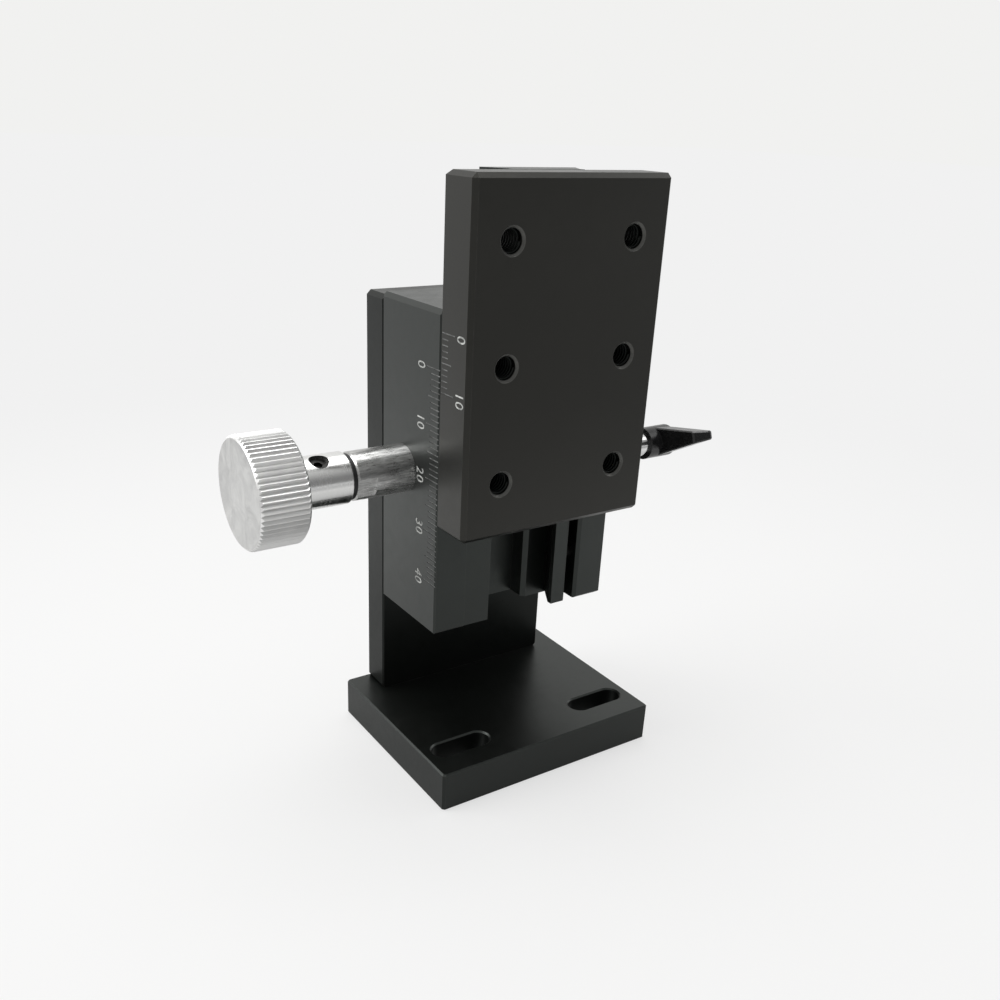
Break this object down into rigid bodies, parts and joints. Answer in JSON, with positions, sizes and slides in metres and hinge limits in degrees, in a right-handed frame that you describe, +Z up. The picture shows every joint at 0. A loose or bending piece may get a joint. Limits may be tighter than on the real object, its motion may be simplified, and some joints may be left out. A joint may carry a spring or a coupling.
{
  "type": "vertical linear translation stage",
  "caption": "Vertical rack-and-pinion dovetail stage on an L bracket, with knurled drive knob, clamp lever, drilled table and engraved scales.",
  "frame": {"origin": "centre of the base plate's underside", "axes": "+X along the table's width, away from the knob; +Y to the back, from the table towards the riser; +Z up, along the travel"},
  "size_m": [0.0902, 0.04, 0.1115],
  "materials": {
    "black_anodised": "fine satin black anodised, machined",
    "turned_silver": "clear anodised, turned and knurled",
    "polished_steel": "turned and polished stainless steel",
    "steel_dark": "black oxide steel screws",
    "steel_bright": "ground steel",
    "bronze": "sintered bronze",
    "brass": "turned brass",
    "black_plastic": "glossy black moulded plastic",
    "washer_plastic": "black acetal"
  },
  "bodies": {
    "frame": {"base_plate": "black_anodised", "riser_plate": "black_anodised", "stage_body": "black_anodised", "gib_strip": "black_anodised", "bearing_sleeve": "polished_steel", "bearing_bush": "bronze", "sleeve_lock_screw": "steel_dark", "clamp_pad": "brass", "gib_screws": "steel_dark", "riser_screws": "steel_dark", "base_screws": "steel_dark", "base_dowels": "steel_bright"},
    "carriage": {"table_plate": "black_anodised", "dovetail_slider": "black_anodised", "rack": "steel_bright", "slider_screws": "steel_dark", "rack_screws": "steel_dark"},
    "drive": {"pinion_shaft": "steel_bright", "drive_knob": "turned_silver", "knob_set_screw": "steel_dark", "drag_washer": "washer_plastic"},
    "clamp": {"clamp_stud": "polished_steel", "clamp_lever": "black_plastic", "lever_screw": "steel_dark"}
  },
  "joints": [
    {"name": "table_slide", "type": "slide", "parent": "frame", "child": "carriage", "axis": [0, 0, 1], "range_m": [-0.0425, 0]},
    {"name": "knob_turn", "type": "hinge", "parent": "frame", "child": "drive", "pos_m": [0, 0.005, 0.0595], "axis": [1, 0, 0], "range_deg": [0, 700]},
    {"name": "lever_turn", "type": "hinge", "parent": "frame", "child": "clamp", "pos_m": [0.0264, -0.0036, 0.0595], "axis": [1, 0, 0], "range_deg": [-90, 0]}
  ],
  "couplings": [
    {"joint": "knob_turn", "follows": "table_slide", "rad_per_m": -285.71}
  ]
}
